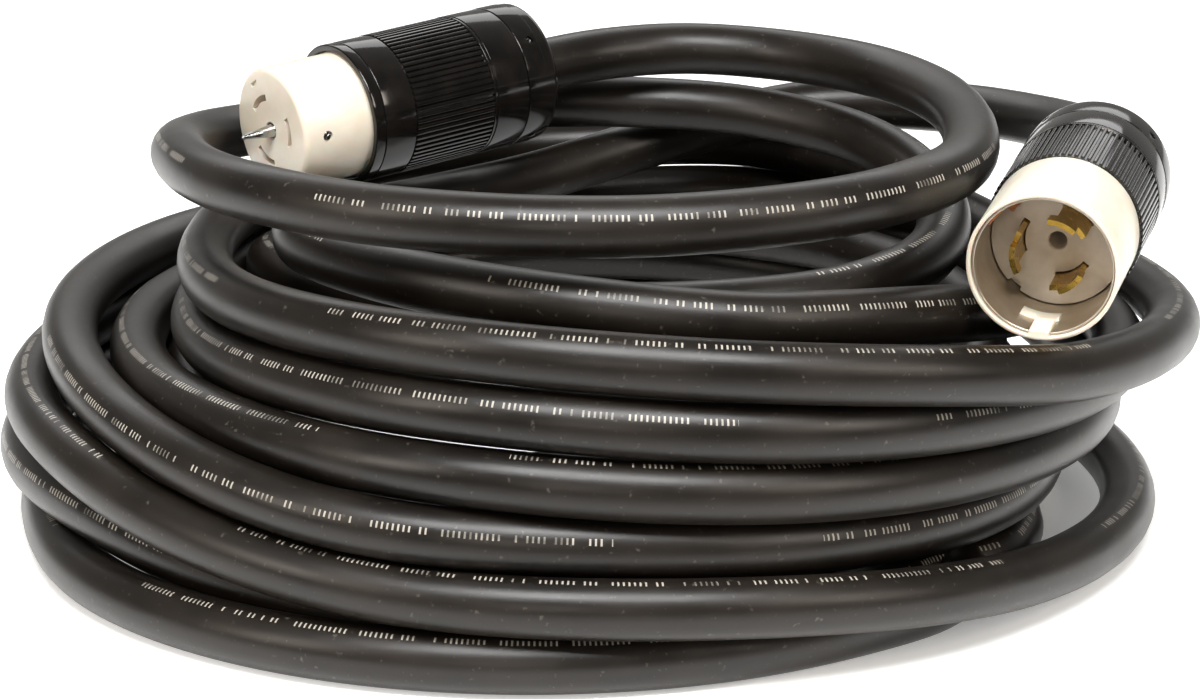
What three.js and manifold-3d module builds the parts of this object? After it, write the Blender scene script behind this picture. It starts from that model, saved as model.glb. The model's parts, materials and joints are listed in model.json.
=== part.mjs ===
// Shore power cord: a heavy coiled cable with a locking connector on one end and a
// shrouded locking plug on the other. Millimetres, +Z up. The origin is on the floor
// at the centre of the coil.
import * as THREE from 'three';
import { mergeVertices } from 'three/addons/utils/BufferGeometryUtils.js';
import Module from 'manifold-3d';

const wasm = await Module();
wasm.setup();

// ---- Driving dimensions ----

const GAP = 0.3;                 // clearance between pieces that touch
const TURNED_SIDES = 36;         // facets round each turned piece

// Cable
const CABLE_RADIUS = 11;
const CABLE_SIDES = 12;
const CONNECTOR_LEAD_STEPS = 50;
const PLUG_LEAD_STEPS = 28;

// Coil, as the plain ring that the wound turns fill
const COIL = { inner: 160, outer: 238, height: 107, chamfer: 9, sides: 64 };
const COIL_DEPTH_RATIO = 232 / 238;

// Where each fitting lies: the centre of its rear end, and a vector towards its mating end
const CONNECTOR_REST = {
  rear: new THREE.Vector3(-34, 86.5, 160), aim: new THREE.Vector3(-100, -76, -9.5),
};
const PLUG_REST = {
  rear: new THREE.Vector3(193.5, -37.5, 145.5), aim: new THREE.Vector3(-34.5, -113.5, -9.5),
};

// Rear end, the same on both fittings. Stations are distances from the rear end. The seat is
// the sleeve's bore that the carrier or shroud sits in, and it sizes both fittings across.
const SEAT_RADIUS = 26.2;
const SLEEVE = { bandWall: 3.2, ribWall: 3, frontWall: 2.8, spigotSetback: 8.3 };
const NUT = { proud: 0.1, length: 15.7, wall: 5, edge: 6.5, threadWall: 2.9 };
const NUT_HOLE = { radius: 2, depth: 2, station: 8.5, count: 4, angle: 40 };
const CABLE_CLEARANCE = 1.6;     // free space round the cable where it passes through the nut
const WASHER = { edgeClearance: 2.6, thickness: 2 };
const BUSH = { rearWall: 5.7, frontWall: 2.2, length: 23.4 };
const SLEEVE_BAND_LENGTH = 18;   // plain band between the nut and the ribs
const RIBS_LENGTH = 38;
const FRONT_BAND_LENGTH = 15;    // on the connector only
const CHAMBER = { ledge: 4.2, length: 15.5, bushClearance: 0.5 };
const JACKET_REACH = 3;          // how far the cable jacket comes out of the bush

// Wires and terminals, the same in both fittings
const WIRE = { radius: 3, sides: 8, steps: 5, spread: 6.4, jacketClearance: 0.6 };
const TERMINAL = { ring: 13.5, screwRadius: 2.6, screwLength: 2.4, proud: 0.1 };
const TERMINAL_SLOT = { width: 0.8, depth: 0.8 };
const CONTACT = { halfAngle: 26, halfThickness: 2.7, baseLength: 7, pocketTurn: 3 };
const GROUND = { footDepth: 5.5, strapThickness: 2, wallClearance: 0.5, screwInset: 2.8, halfAngle: 10 };
const GROUND_STRAP_TURN = 4;     // half the angle of the strap up to the side screw

// Connector, the female end
const CONNECTOR_ANGLES = { x: 5, y: 125, w: 245, g: -50 };
const CONNECTOR_GROUND_WIRE_ANGLE = -55;
const FRONT_RING_LENGTH = 4.7;
const NOSE = { step: 0.4, length: 31.6, edge: 1.5 };
const SLOT = { halfWidth: 1.5, halfAngle: 26, depth: 8.6 };
const LEAF = { thickness: 0.9, setback: 2, turnInset: 2 };
const PILOT = { shank: 2.5, base: 2.6, tip: 0.7, tipEdge: 0.5, length: 14, tail: 26 };
const PILOT_COLLAR = { radius: 3.4, depth: 1, sunk: 0.1 };
const SIDE_SCREW = { radius: 1.9, angle: 0, setback: 10.6, sunk: 0.4, slotDepth: 0.7, slotWidth: 0.6 };
const STRAP_OVER_SCREW = 4;      // how far the ground strap goes on past the side screw
const RIM_SLOT = { angle: 120, inset: 4.9, length: 4.8, width: 1.6, depth: 1.2 };

// Plug, the male end
const PLUG_ANGLES = { x: 175, y: 55, w: -65, g: 128 };
const PLUG_GROUND_WIRE_ANGLE = 115;
const SHROUD = { proud: 1.8, wall: 1.6, length: 45.7, spigotWall: 2.9, lip: 0.6 };
const SHELL = { thickness: 0.9, rimSetback: 1.5 };
const INSULATOR = { recess: 32, discThickness: 9.7, pilotClearance: 0.75 };
const NOTCH = { angle: -131, radius: 3, depth: 4 };
const BLADE = { halfThickness: 1.1, protrusion: 20, hookAngle: 11, hookLength: 6, hookRoot: 2 };
const KEY = { angle: -92, stemWidth: 7.6, stemLength: 14, proud: 0.6, root: 0.8 };
const KEY_BAR = { from: -114, to: -81, length: 7 };
const SPRING = { from: 132, to: 148, thickness: 0.7, setback: 6, bridge: 1 };
const THROUGH = 1;               // how far a cut runs on past the face that it opens

// ---- Sizes that follow from them ----

const nutHole = CABLE_RADIUS + CABLE_CLEARANCE;
const bushBore = CABLE_RADIUS + GAP;
const bushRear = bushBore + BUSH.rearWall;
const bushFront = bushBore + BUSH.frontWall;
const bandRadius = SEAT_RADIUS + SLEEVE.bandWall;
const ribRadius = SEAT_RADIUS + SLEEVE.ribWall;
const frontRadius = SEAT_RADIUS + SLEEVE.frontWall;
const nutRadius = bandRadius + NUT.proud;
const threadBore = nutRadius - NUT.threadWall;
const washerRadius = threadBore - WASHER.edgeClearance;
const chamberRadius = SEAT_RADIUS - CHAMBER.ledge;
const seatedRadius = SEAT_RADIUS - GAP;
const noseRadius = seatedRadius - NOSE.step;
const shroudRadius = SEAT_RADIUS + SHROUD.proud;
const spigotInner = seatedRadius - SHROUD.spigotWall;
const groundOuter = chamberRadius - GROUND.wallClearance;
const groundInner = groundOuter - GROUND.footDepth;
const strapInner = groundOuter - GROUND.strapThickness;
const groundRing = groundOuter - GROUND.screwInset;
const washerStation = NUT.wall + GAP;
const bushStation = washerStation + WASHER.thickness + GAP;
const bushEnd = bushStation + BUSH.length;
const bandStation = NUT.length + GAP;
const ribStation = bandStation + SLEEVE_BAND_LENGTH;
const ribEnd = ribStation + RIBS_LENGTH;
const jacketEnd = bushEnd + JACKET_REACH;
const chamberStation = bushEnd + CHAMBER.bushClearance;
const seatStation = chamberStation + CHAMBER.length;
const innerStation = seatStation + GAP;
const terminalStation = innerStation - TERMINAL.proud;
const contactStation = terminalStation + TERMINAL.screwLength + GAP;
const contactTop = contactStation + CONTACT.baseLength;
const sleeveFront = ribEnd + FRONT_BAND_LENGTH;
const noseStation = sleeveFront + GAP + FRONT_RING_LENGTH;
const connectorFace = noseStation + NOSE.length;
const plugRim = ribEnd + GAP + SHROUD.length;
const insulatorFace = plugRim - INSULATOR.recess;
const discStation = insulatorFace - INSULATOR.discThickness;
const shroudBore = shroudRadius - SHROUD.wall;
const shellOuter = shroudBore - GAP;
const shellInner = shellOuter - SHELL.thickness;
const contactInner = TERMINAL.ring - CONTACT.halfThickness;
const contactOuter = TERMINAL.ring + CONTACT.halfThickness;

// ---- Shape helpers ----

const radians = THREE.MathUtils.degToRad;

// A turned piece about Z. The profile is a list of [radius, station], anticlockwise,
// which starts and ends on the axis or is closed here.
function turned(profile, sides = TURNED_SIDES) {
  const points = profile.map(([radius, station]) => new THREE.Vector2(radius, station));
  const onAxis = profile[0][0] === 0 && profile[profile.length - 1][0] === 0;
  if (!onAxis) points.push(points[0].clone());
  return new THREE.LatheGeometry(points, sides).rotateX(Math.PI / 2);
}

// Points of a quarter-round edge from one angle to another, in degrees
function rounded(radius, station, edge, from, to, steps = 4) {
  return Array.from({ length: steps + 1 }, (_, i) => {
    const angle = radians(from + (to - from) * i / steps);
    return [radius + edge * Math.cos(angle), station + edge * Math.sin(angle)];
  });
}

// A curved plate that stands on part of a ring, between two stations
function arcPlate(inner, outer, from, to, low, high) {
  const shape = new THREE.Shape();
  shape.absarc(0, 0, outer, radians(from), radians(to), false);
  shape.absarc(0, 0, inner, radians(to), radians(from), true);
  const curveSegments = Math.max(2, Math.ceil(Math.abs(to - from) / 9));
  const plate = new THREE.ExtrudeGeometry(shape, { depth: high - low, bevelEnabled: false, curveSegments });
  return plate.translate(0, 0, low);
}

// A round bar along Z, and one along a radius at an angle round the axis
function bar(radius, low, high, sides = 16) {
  return turned([[0, low], [radius, low], [radius, high], [0, high]], sides);
}

function radialBar(radius, inner, outer, angle, station, sides = 12) {
  const geometry = bar(radius, inner, outer, sides).rotateY(Math.PI / 2);
  return geometry.rotateZ(radians(angle)).translate(0, 0, station);
}

function block(width, depth, height, x, y, z) {
  return new THREE.BoxGeometry(width, depth, height).translate(x, y, z);
}

// Join and cut
function toSolid(geometry) {
  const bare = geometry.clone();
  bare.deleteAttribute('normal');
  bare.deleteAttribute('uv');
  const merged = mergeVertices(bare, 1e-4);
  const vertProperties = new Float32Array(merged.attributes.position.array);
  const triVerts = new Uint32Array(merged.index.array);
  return new wasm.Manifold(new wasm.Mesh({ numProp: 3, vertProperties, triVerts }));
}

function combine(base, added = [], removed = []) {
  let solid = toSolid(base);
  for (const piece of added) solid = solid.add(toSolid(piece));
  for (const piece of removed) solid = solid.subtract(toSolid(piece));
  const mesh = solid.getMesh();
  const geometry = new THREE.BufferGeometry();
  geometry.setAttribute('position', new THREE.BufferAttribute(new Float32Array(mesh.vertProperties), 3));
  geometry.setIndex(new THREE.BufferAttribute(new Uint32Array(mesh.triVerts), 1));
  geometry.computeVertexNormals();
  return geometry;
}

// ---- Materials ----

function finish(color, roughness, metalness = 0) {
  return new THREE.MeshStandardMaterial({ color, roughness, metalness });
}

const cableRubber = () => finish(0x2b2825, 0.55);
const bushRubber = () => finish(0x1d1c1b, 0.8);
const blackNylon = () => finish(0x121212, 0.25);
const whiteNylon = () => finish(0xf1ebe0, 0.35);
const greyNylon = () => finish(0xb3a899, 0.5);
const brass = () => finish(0xb8963a, 0.3, 1);
const bronze = () => finish(0xa5683c, 0.35, 1);
const plating = () => finish(0xb9bbbd, 0.25, 1);
const insulation = { x: 0x17171a, y: 0xa82320, w: 0xe9e6df, g: 0x1f7a3b };

const part = new THREE.Group();

function addTo(group, name, geometry, material) {
  const mesh = new THREE.Mesh(geometry, material);
  mesh.name = name;
  group.add(mesh);
}

// ---- Cable ----

function along(rest, distance) {
  return rest.aim.clone().normalize().multiplyScalar(distance).add(rest.rear);
}

// From the jacket end inside the connector, round the high loop and the smaller loop
// under it, and down beside the coil's inner wall
const CONNECTOR_LEAD = [
  along(CONNECTOR_REST, jacketEnd), along(CONNECTOR_REST, 12), along(CONNECTOR_REST, -8),
  [0, 111, 162], [36, 124, 162], [74, 117, 161], [112, 85, 161], [137, 32, 161], [144, -36, 160],
  [130, -102, 160], [84, -156, 160], [8, -184, 160], [-76, -168, 160], [-134, -120, 159],
  [-161, -52, 154], [-164, 20, 145], [-138, 78, 138], [-76, 117, 137], [0, 132, 137],
  [66, 120, 135], [116, 82, 129], [138, 28, 119], [130, -32, 111], [94, -76, 107], [40, -96, 106],
  [-20, -94, 105], [-76, -72, 103], [-117, -30, 98], [-134, 22, 93], [-132, 64, 88],
];

// From the top of the coil, across it and back behind it to the plug
const PLUG_LEAD = [
  [104, -150, 118.4], [56, -176, 123], [-4, -178, 129], [-66, -148, 131], [-108, -97, 130],
  [-115, -40, 125], [-104, 14, 114], [-74, 66, 108], [-28, 112, 108], [30, 150, 117],
  [94, 167, 128], [151, 148, 131], [189, 95, 136], [203, 30, 143],
  along(PLUG_REST, -10), along(PLUG_REST, 12), along(PLUG_REST, jacketEnd),
];

function tube(points, radius, sides, steps) {
  const section = new THREE.Shape();
  for (let i = 0; i < sides; i += 1) {
    const angle = 2 * Math.PI * i / sides;
    const corner = [radius * Math.cos(angle), radius * Math.sin(angle)];
    if (i === 0) section.moveTo(...corner);
    else section.lineTo(...corner);
  }
  const route = points.map((point) => (Array.isArray(point) ? new THREE.Vector3(...point) : point));
  const extrudePath = new THREE.CatmullRomCurve3(route);
  return new THREE.ExtrudeGeometry(section, { steps, extrudePath });
}

function coilRing() {
  const { inner, outer, height, chamfer, sides } = COIL;
  const profile = [
    [inner + chamfer, 0], [outer - chamfer, 0], [outer, chamfer], [outer, height - chamfer],
    [outer - chamfer, height], [inner + chamfer, height], [inner, height - chamfer], [inner, chamfer],
  ];
  return turned(profile, sides).scale(1, COIL_DEPTH_RATIO, 1);
}

addTo(part, 'cable_coil', coilRing(), cableRubber());
const connectorLead = tube(CONNECTOR_LEAD, CABLE_RADIUS, CABLE_SIDES, CONNECTOR_LEAD_STEPS);
addTo(part, 'connector_lead', connectorLead, cableRubber());
addTo(part, 'plug_lead', tube(PLUG_LEAD, CABLE_RADIUS, CABLE_SIDES, PLUG_LEAD_STEPS), cableRubber());

// ---- Rear end of a fitting ----

function clampNut() {
  const cap = turned([
    [nutHole, 0],
    ...rounded(nutRadius - NUT.edge, NUT.edge, NUT.edge, -90, 0),
    [nutRadius, NUT.length], [threadBore, NUT.length], [threadBore, NUT.wall], [nutHole, NUT.wall],
  ]);
  const bottom = nutRadius - NUT_HOLE.depth;
  const holes = Array.from({ length: NUT_HOLE.count }, (_, i) => {
    const angle = NUT_HOLE.angle + 360 * i / NUT_HOLE.count;
    return radialBar(NUT_HOLE.radius, bottom, nutRadius + THROUGH, angle, NUT_HOLE.station);
  });
  return combine(cap, [], holes);
}

function slipWasher() {
  const high = washerStation + WASHER.thickness;
  return turned([
    [nutHole, washerStation], [washerRadius, washerStation], [washerRadius, high], [nutHole, high],
  ]);
}

function cableBush() {
  return turned([
    [bushBore, bushStation], [bushRear, bushStation], [bushFront, bushEnd], [bushBore, bushEnd],
  ]);
}

// The sleeve ends at its ribs on the plug, and has a plain front band on the connector
function sleeve(frontBand) {
  const coneAt = (station) => {
    const share = (station - bushStation) / BUSH.length;
    return bushRear + (bushFront - bushRear) * share + GAP;
  };
  const front = frontBand
    ? [[frontRadius, ribEnd], [frontRadius, sleeveFront], [SEAT_RADIUS, sleeveFront]]
    : [[SEAT_RADIUS, ribEnd]];
  return turned([
    [coneAt(SLEEVE.spigotSetback), SLEEVE.spigotSetback],
    [threadBore - GAP, SLEEVE.spigotSetback], [threadBore - GAP, bandStation],
    [bandRadius, bandStation], [bandRadius, ribStation],
    [ribRadius, ribStation], [ribRadius, ribEnd], ...front,
    [SEAT_RADIUS, seatStation], [chamberRadius, seatStation], [chamberRadius, chamberStation],
    [coneAt(bushEnd), chamberStation],
  ]);
}

function polar(radius, angle, station) {
  return new THREE.Vector3(radius * Math.cos(radians(angle)), radius * Math.sin(radians(angle)), station);
}

// An insulated wire from the jacket end out to its terminal
function wire(startAngle, endAngle, endRing) {
  const low = jacketEnd + WIRE.jacketClearance;
  const high = terminalStation - GAP;
  const at = (ringShare, lengthShare) => polar(
    WIRE.spread + (endRing - WIRE.spread) * ringShare,
    startAngle + (endAngle - startAngle) * ringShare,
    low + (high - low) * lengthShare,
  );
  const points = [at(0, 0), at(0, 0.2), at(0.5, 0.55), at(1, 0.85), at(1, 1)];
  return tube(points, WIRE.radius, WIRE.sides, WIRE.steps);
}

function terminalScrew(angle, ring) {
  const high = terminalStation + TERMINAL.screwLength;
  const head = bar(TERMINAL.screwRadius, terminalStation, high, 12);
  const slotLength = 2 * (TERMINAL.screwRadius + THROUGH);
  const slot = block(slotLength, TERMINAL_SLOT.width, 2 * TERMINAL_SLOT.depth, 0, 0, terminalStation);
  const centre = polar(ring, angle, 0);
  return combine(head, [], [slot]).translate(centre.x, centre.y, 0);
}

// Base block of a contact, and the pocket that it slides into from the rear
function contactBase(angle, high) {
  const { halfAngle } = CONTACT;
  return arcPlate(contactInner, contactOuter, angle - halfAngle, angle + halfAngle, contactStation, high);
}

function contactPocket(angle, high) {
  const reach = CONTACT.halfAngle + CONTACT.pocketTurn;
  const low = innerStation - THROUGH;
  return arcPlate(contactInner - GAP, contactOuter + GAP, angle - reach, angle + reach, low, high);
}

function addRearEnd(group, name, frontBand, angles, groundWireAngle) {
  addTo(group, `${name}_clamp_nut`, clampNut(), blackNylon());
  addTo(group, `${name}_slip_washer`, slipWasher(), whiteNylon());
  addTo(group, `${name}_cable_bush`, cableBush(), bushRubber());
  addTo(group, `${name}_sleeve`, sleeve(frontBand), blackNylon());
  for (const [pole, angle] of Object.entries(angles)) {
    const isGround = pole === 'g';
    const ring = isGround ? groundRing : TERMINAL.ring;
    const startAngle = isGround ? groundWireAngle : angle;
    const screwFinish = isGround ? plating() : brass();
    addTo(group, `${name}_wire_${pole}`, wire(startAngle, angle, ring), finish(insulation[pole], 0.45));
    addTo(group, `${name}_terminal_screw_${pole}`, terminalScrew(angle, ring), screwFinish);
  }
}

// Group whose X is to the right and Y up when the mating end is faced, and Z runs to that end
function fittingGroup(rest) {
  const w = rest.aim.clone().normalize();
  const h = w.clone().negate().cross(new THREE.Vector3(0, 0, 1)).normalize();
  const v = w.clone().cross(h);
  const group = new THREE.Group();
  group.setRotationFromMatrix(new THREE.Matrix4().makeBasis(h, v, w));
  group.position.copy(rest.rear);
  part.add(group);
  return group;
}

// ---- Connector ----

const sideScrewStation = connectorFace - SIDE_SCREW.setback;
const slotStation = connectorFace - SLOT.depth;
const poles = ['x', 'y', 'w'];

// Angle that gives a ground piece's side the same clearance as its faces
function turnFor(grow) {
  return THREE.MathUtils.radToDeg(grow / groundInner);
}

// The same foot and strap serve as the ground contact and, grown by the gap, as its pocket
function connectorGround(grow) {
  const { g } = CONNECTOR_ANGLES;
  const inner = strapInner - grow;
  const outer = groundOuter + grow;
  const turn = turnFor(grow);
  const low = grow ? innerStation - THROUGH : contactStation;
  const strapEnd = sideScrewStation + STRAP_OVER_SCREW + grow;
  const footTop = contactTop + grow;
  const strapFrom = SIDE_SCREW.angle - GROUND_STRAP_TURN - turn;
  const strapTo = SIDE_SCREW.angle + GROUND_STRAP_TURN + turn;
  const footFrom = g - GROUND.halfAngle - turn;
  const footTo = g + GROUND.halfAngle + turn;
  const foot = arcPlate(groundInner - grow, outer, footFrom, footTo, low, footTop);
  const bridge = arcPlate(inner, outer, footFrom, strapTo, low, footTop);
  const strap = arcPlate(inner, outer, strapFrom, strapTo, contactStation, strapEnd);
  return combine(foot, [bridge, strap]);
}

function contactCarrier() {
  const body = turned([
    [0, innerStation], [seatedRadius, innerStation], [seatedRadius, noseStation], [noseRadius, noseStation],
    ...rounded(noseRadius - NOSE.edge, connectorFace - NOSE.edge, NOSE.edge, 0, 90, 3), [0, connectorFace],
  ]);
  const collarSeat = connectorFace - PILOT_COLLAR.sunk - PILOT_COLLAR.depth - GAP;
  const cuts = [
    bar(PILOT.shank + GAP, innerStation - THROUGH, connectorFace + THROUGH),
    bar(PILOT_COLLAR.radius + GAP, collarSeat, connectorFace + THROUGH),
    connectorGround(GAP),
  ];
  for (const pole of poles) {
    const angle = CONNECTOR_ANGLES[pole];
    const inner = TERMINAL.ring - SLOT.halfWidth;
    const outer = TERMINAL.ring + SLOT.halfWidth;
    const from = angle - SLOT.halfAngle;
    const to = angle + SLOT.halfAngle;
    cuts.push(arcPlate(inner, outer, from, to, slotStation - THROUGH, connectorFace + THROUGH));
    cuts.push(contactPocket(angle, slotStation));
  }
  const { radius, angle } = SIDE_SCREW;
  cuts.push(radialBar(radius + GAP, groundOuter, noseRadius + THROUGH, angle, sideScrewStation));
  const rimSlotRadius = noseRadius - RIM_SLOT.inset;
  const rimSlot = block(RIM_SLOT.width, RIM_SLOT.length, 2 * RIM_SLOT.depth, rimSlotRadius, 0, connectorFace);
  cuts.push(rimSlot.rotateZ(radians(RIM_SLOT.angle)));
  return combine(body, [], cuts);
}

function femaleContact(angle) {
  const from = angle - CONTACT.halfAngle + LEAF.turnInset;
  const to = angle + CONTACT.halfAngle - LEAF.turnInset;
  const low = contactTop - THROUGH;
  const high = slotStation - LEAF.setback;
  const innerLeaf = arcPlate(contactInner, contactInner + LEAF.thickness, from, to, low, high);
  const outerLeaf = arcPlate(contactOuter - LEAF.thickness, contactOuter, from, to, low, high);
  return combine(contactBase(angle, contactTop), [innerLeaf, outerLeaf]);
}

function pilotPin() {
  const collarHigh = connectorFace - PILOT_COLLAR.sunk;
  const collarLow = collarHigh - PILOT_COLLAR.depth;
  const tip = connectorFace + PILOT.length;
  return turned([
    [0, connectorFace - PILOT.tail], [PILOT.shank, connectorFace - PILOT.tail], [PILOT.shank, collarLow],
    [PILOT_COLLAR.radius, collarLow], [PILOT_COLLAR.radius, collarHigh], [PILOT.base, collarHigh],
    [PILOT.tip, tip - PILOT.tipEdge], [PILOT.tip * 0.6, tip], [0, tip],
  ], 16);
}

function groundScrew() {
  const outer = noseRadius - SIDE_SCREW.sunk;
  const inner = groundOuter + GAP;
  const shank = radialBar(SIDE_SCREW.radius, inner, outer, 0, 0);
  const slotLength = 2 * (SIDE_SCREW.radius + THROUGH);
  const slot = block(2 * SIDE_SCREW.slotDepth, slotLength, SIDE_SCREW.slotWidth, outer, 0, 0);
  return combine(shank, [], [slot]).rotateZ(radians(SIDE_SCREW.angle)).translate(0, 0, sideScrewStation);
}

function addConnector() {
  const group = fittingGroup(CONNECTOR_REST);
  addRearEnd(group, 'connector', true, CONNECTOR_ANGLES, CONNECTOR_GROUND_WIRE_ANGLE);
  const ringLow = sleeveFront + GAP;
  const frontRing = turned([
    [SEAT_RADIUS, ringLow], [frontRadius, ringLow],
    [frontRadius, noseStation], [SEAT_RADIUS, noseStation],
  ]);
  addTo(group, 'connector_front_ring', frontRing, blackNylon());
  addTo(group, 'connector_contact_carrier', contactCarrier(), whiteNylon());
  addTo(group, 'connector_ground_contact', connectorGround(0), brass());
  for (const pole of poles) {
    addTo(group, `connector_contact_${pole}`, femaleContact(CONNECTOR_ANGLES[pole]), brass());
  }
  addTo(group, 'connector_pilot_pin', pilotPin(), plating());
  addTo(group, 'connector_ground_screw', groundScrew(), plating());
}

// ---- Plug ----

// The T-shaped key inside the shroud and, grown by the gap, the window round it
function keyShape(grow) {
  const inner = shellInner - KEY.proud - (grow ? THROUGH : 0);
  const outer = shroudBore + (grow ? THROUGH : KEY.root);
  const halfStem = THREE.MathUtils.radToDeg(KEY.stemWidth / 2 / shroudBore);
  const turn = THREE.MathUtils.radToDeg(grow / shroudBore);
  const barHigh = plugRim - KEY.stemLength;
  const barLow = barHigh - KEY_BAR.length;
  const stemHigh = grow ? plugRim + THROUGH : plugRim;
  const reach = halfStem + turn;
  const stem = arcPlate(inner, outer, KEY.angle - reach, KEY.angle + reach, barLow, stemHigh);
  const from = KEY_BAR.from - turn;
  const crossbar = arcPlate(inner, outer, from, KEY_BAR.to + turn, barLow - grow, barHigh + grow);
  return combine(stem, [crossbar]);
}

function shroud() {
  const low = ribEnd + GAP;
  const floor = discStation - GAP;
  const body = turned([
    [spigotInner, innerStation], [seatedRadius, innerStation], [seatedRadius, low], [shroudRadius, low],
    [shroudRadius, plugRim - SHROUD.lip], [shroudRadius - SHROUD.lip, plugRim],
    [shroudBore, plugRim], [shroudBore, floor], [spigotInner, floor],
  ]);
  return combine(body, [keyShape(0)]);
}

function groundShell() {
  const high = plugRim - SHELL.rimSetback;
  const ring = turned([
    [shellInner, discStation], [shellOuter, discStation], [shellOuter, high], [shellInner, high],
  ]);
  return combine(ring, [], [keyShape(GAP)]);
}

// Foot and strap through the insulator, then a bridge to the spring strip on the shell
function plugGround(grow) {
  const { g } = PLUG_ANGLES;
  const turn = turnFor(grow);
  const low = grow ? innerStation - THROUGH : contactStation;
  const from = g - GROUND.halfAngle - turn;
  const to = g + GROUND.halfAngle + turn;
  const outer = groundOuter + grow;
  const foot = arcPlate(groundInner - grow, outer, from, to, low, contactTop + grow);
  const strap = arcPlate(strapInner - grow, outer, from, to, low, insulatorFace + THROUGH);
  if (grow) return combine(foot, [strap]);
  const springOuter = shellInner - GAP;
  const bridgeLow = insulatorFace + GAP;
  const bridgeHigh = bridgeLow + SPRING.bridge;
  const bridge = arcPlate(strapInner, springOuter, from, SPRING.to, bridgeLow, bridgeHigh);
  const springHigh = plugRim - SPRING.setback;
  const springInner = springOuter - SPRING.thickness;
  const spring = arcPlate(springInner, springOuter, SPRING.from, SPRING.to, bridgeLow, springHigh);
  return combine(foot, [strap, bridge, spring]);
}

function insulator() {
  const spigot = spigotInner - GAP;
  const disc = shellInner - GAP;
  const body = turned([
    [0, innerStation], [spigot, innerStation], [spigot, discStation], [disc, discStation],
    [disc, insulatorFace], [0, insulatorFace],
  ]);
  const pilotHole = PILOT.base + INSULATOR.pilotClearance;
  const cuts = [bar(pilotHole, innerStation - THROUGH, insulatorFace + THROUGH), plugGround(GAP)];
  for (const pole of poles) {
    const angle = PLUG_ANGLES[pole];
    const reach = CONTACT.halfAngle + CONTACT.pocketTurn;
    const inner = TERMINAL.ring - BLADE.halfThickness - GAP;
    const outer = TERMINAL.ring + BLADE.halfThickness + GAP;
    cuts.push(contactPocket(angle, contactTop + GAP));
    cuts.push(arcPlate(inner, outer, angle - reach, angle + reach, contactTop, insulatorFace + THROUGH));
  }
  const notch = polar(disc, NOTCH.angle, 0);
  const notchLow = insulatorFace - NOTCH.depth;
  cuts.push(bar(NOTCH.radius, notchLow, insulatorFace + THROUGH).translate(notch.x, notch.y, 0));
  return combine(body, [], cuts);
}

function blade(angle) {
  const from = angle - CONTACT.halfAngle;
  const to = angle + CONTACT.halfAngle;
  const inner = TERMINAL.ring - BLADE.halfThickness;
  const outer = TERMINAL.ring + BLADE.halfThickness;
  const tip = insulatorFace + BLADE.protrusion;
  const plate = arcPlate(inner, outer, from, to, contactTop - THROUGH, tip);
  const hook = arcPlate(inner, outer, to - BLADE.hookRoot, to + BLADE.hookAngle, tip - BLADE.hookLength, tip);
  return combine(contactBase(angle, contactTop), [plate, hook]);
}

function addPlug() {
  const group = fittingGroup(PLUG_REST);
  addRearEnd(group, 'plug', false, PLUG_ANGLES, PLUG_GROUND_WIRE_ANGLE);
  addTo(group, 'plug_shroud', shroud(), whiteNylon());
  addTo(group, 'plug_ground_shell', groundShell(), plating());
  addTo(group, 'plug_insulator', insulator(), greyNylon());
  addTo(group, 'plug_ground_spring', plugGround(0), bronze());
  for (const pole of poles) {
    addTo(group, `plug_blade_${pole}`, blade(PLUG_ANGLES[pole]), brass());
  }
}

addConnector();
addPlug();

export default part;
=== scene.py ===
"""A coiled shore power cord: 15.24 m of 22 mm rubber cable, wound as it would lie on the
ground, with a ribbed locking connector on one end and a shrouded locking plug on the other.

Sizes are in millimetres and become metres where a piece is placed. Each fitting is built in
its own frame: X to the right and Y up when its mating end is faced, and Z from its rear end
towards that mating end. Stations are distances along that Z."""

import json
import math

import bmesh
import bpy
import numpy as np
from mathutils import Matrix, Vector


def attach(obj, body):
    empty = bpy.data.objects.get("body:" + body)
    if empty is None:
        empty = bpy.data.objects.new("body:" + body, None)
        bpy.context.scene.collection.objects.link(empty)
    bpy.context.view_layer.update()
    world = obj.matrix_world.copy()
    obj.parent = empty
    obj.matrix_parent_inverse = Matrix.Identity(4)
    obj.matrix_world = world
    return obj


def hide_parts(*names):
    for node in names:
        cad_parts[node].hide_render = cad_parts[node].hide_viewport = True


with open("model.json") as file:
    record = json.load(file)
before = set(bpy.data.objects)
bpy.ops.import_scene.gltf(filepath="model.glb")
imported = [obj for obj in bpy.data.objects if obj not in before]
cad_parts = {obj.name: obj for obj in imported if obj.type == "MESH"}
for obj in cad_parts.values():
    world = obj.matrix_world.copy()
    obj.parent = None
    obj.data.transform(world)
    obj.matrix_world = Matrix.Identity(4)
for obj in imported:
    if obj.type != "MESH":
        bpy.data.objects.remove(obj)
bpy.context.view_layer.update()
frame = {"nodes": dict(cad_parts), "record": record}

MM = 0.001
SIDES = 96          # facets round a turned piece

# ---- Sizes that follow the frame's own parts ----

CABLE_RADIUS = 11.0
JACKET_STRIP = 34.0         # station where the jacket ends inside a fitting

NUT_LENGTH = 15.7
NUT_RADIUS = 29.5
THREAD_BORE = 26.6
NUT_HOLE = 12.6
NUT_WALL = 5.0
SPIGOT_START = 8.3
BAND_START = 16.0
CHAMBER_START, CHAMBER_END, CHAMBER_RADIUS = 31.5, 47.0, 22.0
RIB_START = 34.0
RIB_END = 72.0
SEAT_RADIUS = 26.2
SLEEVE_FRONT = 87.0
NOSE_START = 92.0
CONNECTOR_FACE = 123.6
PLUG_RIM = 118.0
INSULATOR_FACE = 86.0
SIDE_SCREW_SETBACK = 10.6
CARRIER_REAR = 47.3
CARRIER_SEAT = 25.9
BLADE_RING = 13.5

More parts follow.
